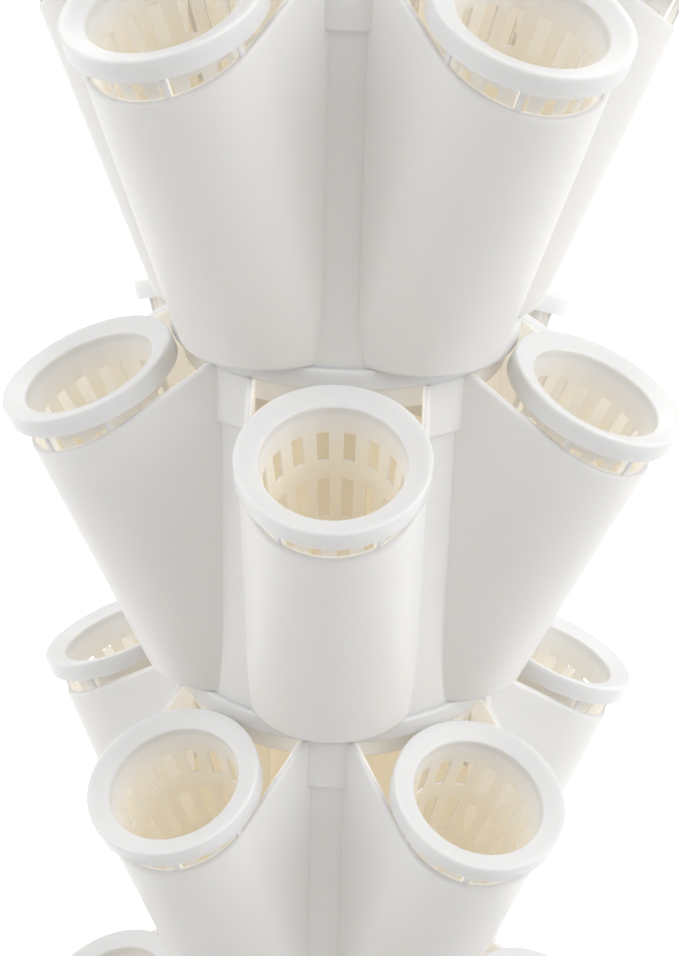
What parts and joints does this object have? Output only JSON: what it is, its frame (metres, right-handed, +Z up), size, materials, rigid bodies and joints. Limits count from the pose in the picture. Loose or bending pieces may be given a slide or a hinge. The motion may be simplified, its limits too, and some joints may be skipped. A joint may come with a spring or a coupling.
{
  "type": "vertical planter tower",
  "caption": "Free-standing column of stacked white tiers with outward-leaning pockets, a lift-out net cup in each, on a round water tank with a pump inside.",
  "frame": {"origin": "on the floor under the middle of the water tank", "axes": "+Z up along the tower, -Y to the front, where tiers 1, 3 and 5 have a pocket"},
  "size_m": [0.362, 0.362, 0.941],
  "materials": {
    "tier_white": "satin injection-moulded white",
    "cup_milky": "translucent milky white, warm where light comes through",
    "inner_white": "satin white",
    "pipe_white": "extruded rigid pipe",
    "tank_white": "satin white",
    "pump_black": "fine grained black",
    "rubber_black": "matte rubber",
    "ceramic": "polished ceramic",
    "steel": "plain stainless"
  },
  "bodies": {
    "root": {"tier_1": "tier_white", "drip_plate_1": "inner_white", "tier_2": "tier_white", "drip_plate_2": "inner_white", "tier_3": "tier_white", "drip_plate_3": "inner_white", "tier_4": "tier_white", "drip_plate_4": "inner_white", "tier_5": "tier_white", "drip_plate_5": "inner_white", "riser_pipe": "pipe_white", "spray_head": "inner_white", "water_tank": "tank_white", "tank_feet": "rubber_black", "tank_lid": "tank_white", "flap_hinge_pin": "steel", "cable_grommet": "rubber_black", "pump_body": "pump_black", "pump_shaft": "ceramic", "pump_strainer": "pump_black", "pump_suckers": "rubber_black"},
    "cap": {"top_cap": "tier_white"},
    "flap": {"filler_flap": "tank_white"},
    "impeller": {"pump_impeller": "pump_black"},
    "cup_1_1": {"net_cup_1_1": "cup_milky"},
    "cup_1_2": {"net_cup_1_2": "cup_milky"},
    "cup_1_3": {"net_cup_1_3": "cup_milky"},
    "cup_1_4": {"net_cup_1_4": "cup_milky"},
    "cup_1_5": {"net_cup_1_5": "cup_milky"},
    "cup_2_1": {"net_cup_2_1": "cup_milky"},
    "cup_2_2": {"net_cup_2_2": "cup_milky"},
    "cup_2_3": {"net_cup_2_3": "cup_milky"},
    "cup_2_4": {"net_cup_2_4": "cup_milky"},
    "cup_2_5": {"net_cup_2_5": "cup_milky"},
    "cup_3_1": {"net_cup_3_1": "cup_milky"},
    "cup_3_2": {"net_cup_3_2": "cup_milky"},
    "cup_3_3": {"net_cup_3_3": "cup_milky"},
    "cup_3_4": {"net_cup_3_4": "cup_milky"},
    "cup_3_5": {"net_cup_3_5": "cup_milky"},
    "cup_4_1": {"net_cup_4_1": "cup_milky"},
    "cup_4_2": {"net_cup_4_2": "cup_milky"},
    "cup_4_3": {"net_cup_4_3": "cup_milky"},
    "cup_4_4": {"net_cup_4_4": "cup_milky"},
    "cup_4_5": {"net_cup_4_5": "cup_milky"},
    "cup_5_1": {"net_cup_5_1": "cup_milky"},
    "cup_5_2": {"net_cup_5_2": "cup_milky"},
    "cup_5_3": {"net_cup_5_3": "cup_milky"},
    "cup_5_4": {"net_cup_5_4": "cup_milky"},
    "cup_5_5": {"net_cup_5_5": "cup_milky"}
  },
  "joints": [
    {"name": "cup_lift_1_1", "type": "slide", "parent": "root", "child": "cup_1_1", "axis": [0, -0.3907, 0.9205], "range_m": [0, 0.07]},
    {"name": "cup_lift_1_2", "type": "slide", "parent": "root", "child": "cup_1_2", "axis": [0.3716, -0.1207, 0.9205], "range_m": [0, 0.07]},
    {"name": "cup_lift_1_3", "type": "slide", "parent": "root", "child": "cup_1_3", "axis": [0.2297, 0.3161, 0.9205], "range_m": [0, 0.07]},
    {"name": "cup_lift_1_4", "type": "slide", "parent": "root", "child": "cup_1_4", "axis": [-0.2297, 0.3161, 0.9205], "range_m": [0, 0.07]},
    {"name": "cup_lift_1_5", "type": "slide", "parent": "root", "child": "cup_1_5", "axis": [-0.3716, -0.1207, 0.9205], "range_m": [0, 0.07]},
    {"name": "cup_lift_2_1", "type": "slide", "parent": "root", "child": "cup_2_1", "axis": [0.2297, -0.3161, 0.9205], "range_m": [0, 0.07]},
    {"name": "cup_lift_2_2", "type": "slide", "parent": "root", "child": "cup_2_2", "axis": [0.3716, 0.1207, 0.9205], "range_m": [0, 0.07]},
    {"name": "cup_lift_2_3", "type": "slide", "parent": "root", "child": "cup_2_3", "axis": [0, 0.3907, 0.9205], "range_m": [0, 0.07]},
    {"name": "cup_lift_2_4", "type": "slide", "parent": "root", "child": "cup_2_4", "axis": [-0.3716, 0.1207, 0.9205], "range_m": [0, 0.07]},
    {"name": "cup_lift_2_5", "type": "slide", "parent": "root", "child": "cup_2_5", "axis": [-0.2297, -0.3161, 0.9205], "range_m": [0, 0.07]},
    {"name": "cup_lift_3_1", "type": "slide", "parent": "root", "child": "cup_3_1", "axis": [0, -0.3907, 0.9205], "range_m": [0, 0.07]},
    {"name": "cup_lift_3_2", "type": "slide", "parent": "root", "child": "cup_3_2", "axis": [0.3716, -0.1207, 0.9205], "range_m": [0, 0.07]},
    {"name": "cup_lift_3_3", "type": "slide", "parent": "root", "child": "cup_3_3", "axis": [0.2297, 0.3161, 0.9205], "range_m": [0, 0.07]},
    {"name": "cup_lift_3_4", "type": "slide", "parent": "root", "child": "cup_3_4", "axis": [-0.2297, 0.3161, 0.9205], "range_m": [0, 0.07]},
    {"name": "cup_lift_3_5", "type": "slide", "parent": "root", "child": "cup_3_5", "axis": [-0.3716, -0.1207, 0.9205], "range_m": [0, 0.07]},
    {"name": "cup_lift_4_1", "type": "slide", "parent": "root", "child": "cup_4_1", "axis": [0.2297, -0.3161, 0.9205], "range_m": [0, 0.07]},
    {"name": "cup_lift_4_2", "type": "slide", "parent": "root", "child": "cup_4_2", "axis": [0.3716, 0.1207, 0.9205], "range_m": [0, 0.07]},
    {"name": "cup_lift_4_3", "type": "slide", "parent": "root", "child": "cup_4_3", "axis": [0, 0.3907, 0.9205], "range_m": [0, 0.07]},
    {"name": "cup_lift_4_4", "type": "slide", "parent": "root", "child": "cup_4_4", "axis": [-0.3716, 0.1207, 0.9205], "range_m": [0, 0.07]},
    {"name": "cup_lift_4_5", "type": "slide", "parent": "root", "child": "cup_4_5", "axis": [-0.2297, -0.3161, 0.9205], "range_m": [0, 0.07]},
    {"name": "cup_lift_5_1", "type": "slide", "parent": "root", "child": "cup_5_1", "axis": [0, -0.3907, 0.9205], "range_m": [0, 0.07]},
    {"name": "cup_lift_5_2", "type": "slide", "parent": "root", "child": "cup_5_2", "axis": [0.3716, -0.1207, 0.9205], "range_m": [0, 0.07]},
    {"name": "cup_lift_5_3", "type": "slide", "parent": "root", "child": "cup_5_3", "axis": [0.2297, 0.3161, 0.9205], "range_m": [0, 0.07]},
    {"name": "cup_lift_5_4", "type": "slide", "parent": "root", "child": "cup_5_4", "axis": [-0.2297, 0.3161, 0.9205], "range_m": [0, 0.07]},
    {"name": "cup_lift_5_5", "type": "slide", "parent": "root", "child": "cup_5_5", "axis": [-0.3716, -0.1207, 0.9205], "range_m": [0, 0.07]},
    {"name": "cap_lift", "type": "slide", "parent": "root", "child": "cap", "axis": [0, 0, 1], "range_m": [0, 0.06]},
    {"name": "flap_hinge", "type": "hinge", "parent": "root", "child": "flap", "pos_m": [-0.0405, -0.124, 0.19125], "axis": [0, -1, 0], "range_deg": [0, 100]},
    {"name": "impeller_spin", "type": "hinge", "parent": "root", "child": "impeller", "pos_m": [0, 0, 0.045], "axis": [0, 1, 0], "continuous": true}
  ]
}
